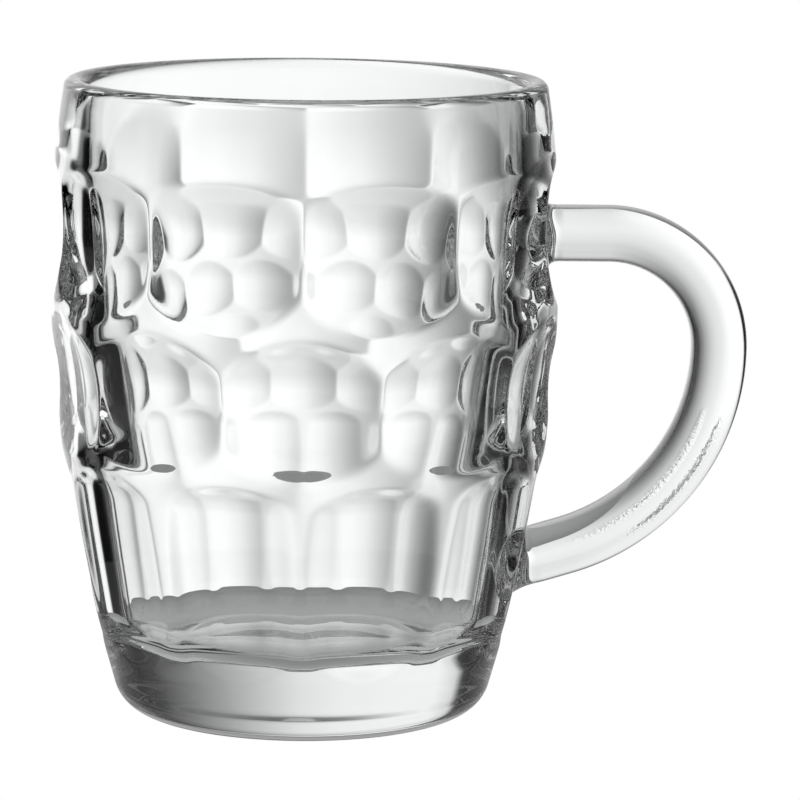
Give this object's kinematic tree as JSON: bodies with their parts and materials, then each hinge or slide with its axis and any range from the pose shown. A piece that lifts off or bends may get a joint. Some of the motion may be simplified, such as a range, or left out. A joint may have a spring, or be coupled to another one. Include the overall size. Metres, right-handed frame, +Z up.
{
  "type": "dimpled glass beer mug",
  "caption": "Clear pressed-glass beer mug with a plain rim, two staggered rows of round dimples, arched flutes at the foot and a stuck-on looped glass handle.",
  "frame": {"origin": "on the mug's axis, in the plane of its standing ring", "axes": "+Z up along the mug's axis, +X from the axis towards the handle, +Y to complete a right-handed frame"},
  "size_m": [0.1388, 0.1012, 0.127],
  "materials": {
    "body_glass": "clear fire-polished pressed glass",
    "handle_glass": "clear fire-polished drawn glass"
  },
  "bodies": {
    "root": {"mug_body": "body_glass", "handle": "handle_glass"}
  },
  "joints": []
}
